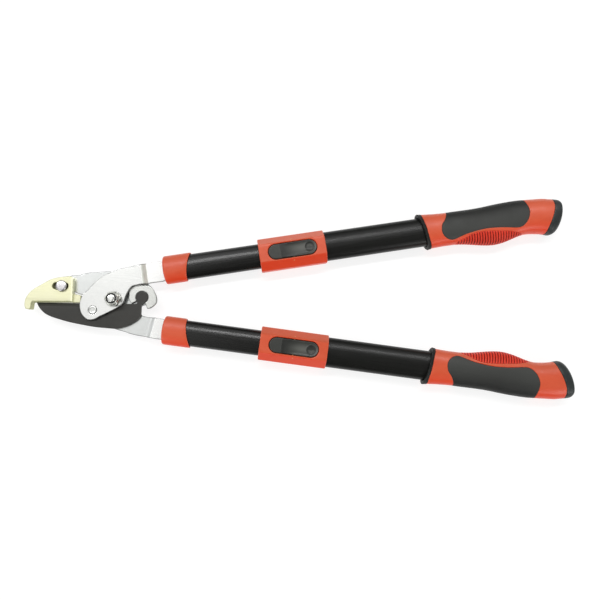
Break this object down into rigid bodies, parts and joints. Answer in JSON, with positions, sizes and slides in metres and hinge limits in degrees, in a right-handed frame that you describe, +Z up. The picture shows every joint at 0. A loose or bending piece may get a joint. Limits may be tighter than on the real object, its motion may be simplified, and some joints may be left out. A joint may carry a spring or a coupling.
{
  "type": "telescopic lopper",
  "caption": "Long-handled garden lopper with a compound-action anvil jaw and oval telescopic handles, each held at its length by a rocker catch.",
  "frame": {"origin": "under the middle of the whole tool, on the surface it lies on, jaws closed and handles pushed in", "axes": "+X from the jaws to the grips, +Y towards the upper handle, +Z up out of the surface"},
  "size_m": [0.6872, 0.2614, 0.0346],
  "materials": {
    "steel": "bright, lightly brushed",
    "coated_steel": "dark low-friction coating, satin",
    "anvil_brass": "pale yellow, satin",
    "black_tube": "black, satin",
    "red_plastic": "satin moulding",
    "red_rubber": "soft, ribbed",
    "black_rubber": "soft, matt",
    "lever_plastic": "satin moulding",
    "cap_plastic": "satin moulding",
    "inner_plastic": "plain moulding"
  },
  "bodies": {
    "frame": {"frame_plate": "steel", "pivot_socket": "steel", "socket_rivet_a": "steel", "socket_rivet_b": "steel", "anvil": "anvil_brass", "anvil_screw": "steel", "anvil_nut": "steel", "pivot_bolt": "steel", "pivot_nut": "steel", "front_washer": "steel", "rear_washer": "steel", "pivot_bush": "steel", "lower_inner_tube": "black_tube", "lower_ferrule": "red_plastic", "lower_tang_plug": "inner_plastic", "lower_tang_rivet": "steel", "lower_end_bush": "inner_plastic"},
    "drive": {"drive_plate": "steel", "drive_pin": "steel", "upper_inner_tube": "black_tube", "upper_ferrule": "red_plastic", "upper_tang_plug": "inner_plastic", "upper_tang_rivet": "steel", "upper_end_bush": "inner_plastic"},
    "blade": {"blade": "coated_steel"},
    "upper_slider": {"upper_outer_tube": "black_tube", "upper_collar": "red_plastic", "upper_collar_screw": "steel", "upper_lock_pivot_pin": "steel", "upper_lock_spring": "steel", "upper_grip": "red_plastic", "upper_grip_pad": "black_rubber", "upper_grip_belly": "red_rubber", "upper_grip_ring": "black_rubber", "upper_end_cap": "cap_plastic"},
    "lower_slider": {"lower_outer_tube": "black_tube", "lower_collar": "red_plastic", "lower_collar_screw": "steel", "lower_lock_pivot_pin": "steel", "lower_lock_spring": "steel", "lower_grip": "red_plastic", "lower_grip_pad": "black_rubber", "lower_grip_belly": "red_rubber", "lower_grip_ring": "black_rubber", "lower_end_cap": "cap_plastic"},
    "upper_lever": {"upper_lock_lever": "lever_plastic", "upper_lock_peg": "steel"},
    "lower_lever": {"lower_lock_lever": "lever_plastic", "lower_lock_peg": "steel"}
  },
  "joints": [
    {"name": "handle_swing", "type": "hinge", "parent": "frame", "child": "drive", "pos_m": [-0.23531, -0.00622, 0.016], "axis": [0, 0, 1], "range_deg": [0, 60]},
    {"name": "blade_swing", "type": "hinge", "parent": "frame", "child": "blade", "pos_m": [-0.20181, -0.00322, 0.016], "axis": [0, 0, 1], "range_deg": [0, 20.5]},
    {"name": "upper_telescope", "type": "slide", "parent": "drive", "child": "upper_slider", "axis": [0.9874, 0.1581, 0], "range_m": [0, 0.24]},
    {"name": "lower_telescope", "type": "slide", "parent": "frame", "child": "lower_slider", "axis": [0.9911, -0.1328, 0], "range_m": [0, 0.24]},
    {"name": "upper_lock", "type": "hinge", "parent": "upper_slider", "child": "upper_lever", "pos_m": [-0.01396, 0.05693, 0.0294], "axis": [-0.1581, 0.9874, 0], "range_deg": [0, 8], "stiffness_Nm_per_rad": 0.15, "springref_deg": -6.88, "deforming": ["upper_lock_spring"]},
    {"name": "lower_lock", "type": "hinge", "parent": "lower_slider", "child": "lower_lever", "pos_m": [-0.01239, -0.06552, 0.0294], "axis": [0.1328, 0.9911, 0], "range_deg": [0, 8], "stiffness_Nm_per_rad": 0.15, "springref_deg": -6.88, "deforming": ["lower_lock_spring"]}
  ],
  "couplings": [
    {"joint": "blade_swing", "follows": "handle_swing", "ratio": 0.33333}
  ]
}
